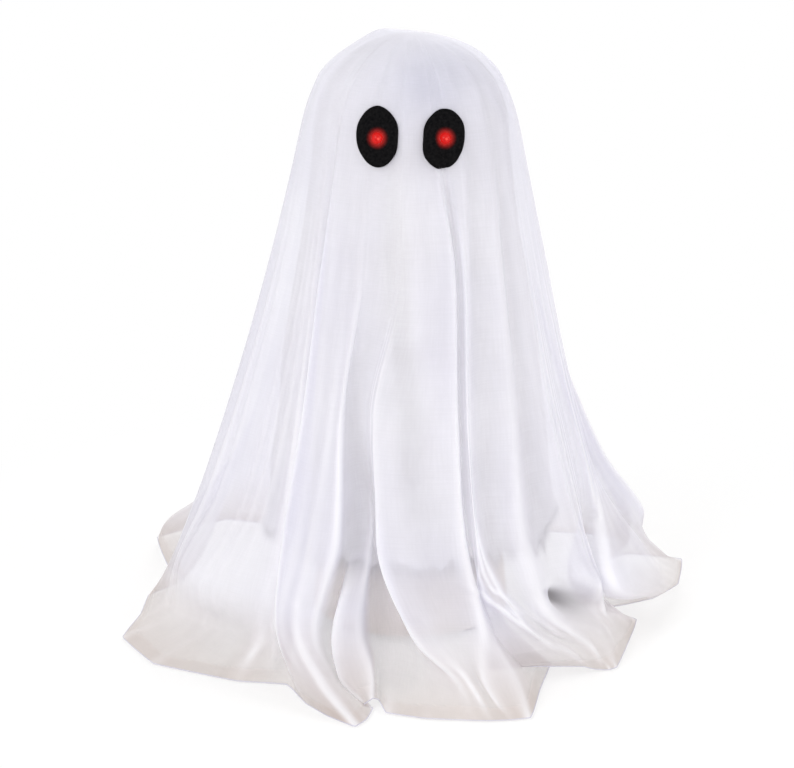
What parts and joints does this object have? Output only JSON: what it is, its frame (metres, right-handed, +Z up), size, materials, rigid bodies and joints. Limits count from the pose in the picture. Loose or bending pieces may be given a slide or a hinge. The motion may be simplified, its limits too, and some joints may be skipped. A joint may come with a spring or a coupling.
{
  "type": "draped ghost figure",
  "caption": "Light-up table-top ghost: a sheer veil over a fleecy lining, draped on a round head and battery base, with felt eye patches and red lamps.",
  "frame": {"origin": "on the table, under the middle of the figure", "axes": "+Z up, the face looks along -Y, +X to the right as seen from the front"},
  "size_m": [0.2864, 0.2874, 0.3],
  "materials": {
    "sheer_cloth": "sheer woven, slight sheen",
    "fleece": "soft fleece",
    "felt": "matted felt",
    "lamp_lens": "clear red epoxy",
    "white_moulding": "fine moulded grain",
    "beige_moulding": "fine moulded grain",
    "black_moulding": "moulded",
    "zinc_screw": "zinc plated",
    "spring_strip": "nickel plated strip",
    "cell_jacket": "shrunk jacket",
    "board": "bonded paper board",
    "epoxy": "poured epoxy",
    "foot_rubber": "soft rubber",
    "red_insulation": "soft insulation",
    "black_insulation": "soft insulation"
  },
  "bodies": {
    "figure": {"veil": "sheer_cloth", "lining": "fleece", "eye_patch_left": "felt", "eye_patch_right": "felt", "eye_led_left": "lamp_lens", "eye_led_right": "lamp_lens", "led_holder_left": "black_moulding", "led_holder_right": "black_moulding", "led_ring_left": "black_moulding", "led_ring_right": "black_moulding", "led_legs": "spring_strip", "head_front_shell": "white_moulding", "head_rear_shell": "white_moulding", "head_screws": "zinc_screw", "post": "beige_moulding", "post_screw": "zinc_screw", "base_cover": "beige_moulding", "base_plate": "beige_moulding", "base_screws": "zinc_screw", "rubber_feet": "foot_rubber", "cell_left": "cell_jacket", "cell_right": "cell_jacket", "contact_bridge": "spring_strip", "contact_positive": "spring_strip", "contact_negative": "spring_strip", "switch_body": "black_moulding", "switch_pins": "spring_strip", "switch_screws": "zinc_screw", "circuit_board": "board", "chip_blob": "epoxy", "resistors": "black_moulding", "board_screws": "zinc_screw", "led_wires_left": "red_insulation", "led_wires_right": "red_insulation", "battery_lead_red": "red_insulation", "battery_lead_black": "black_insulation", "switch_lead": "black_insulation"},
    "door": {"battery_door": "beige_moulding"},
    "knob": {"switch_knob": "black_moulding"}
  },
  "joints": [
    {"name": "door_slide", "type": "slide", "parent": "figure", "child": "door", "axis": [0, 1, 0], "range_m": [0, 0.068]},
    {"name": "switch_slide", "type": "slide", "parent": "figure", "child": "knob", "axis": [0, 1, 0], "range_m": [-0.004, 0]}
  ]
}
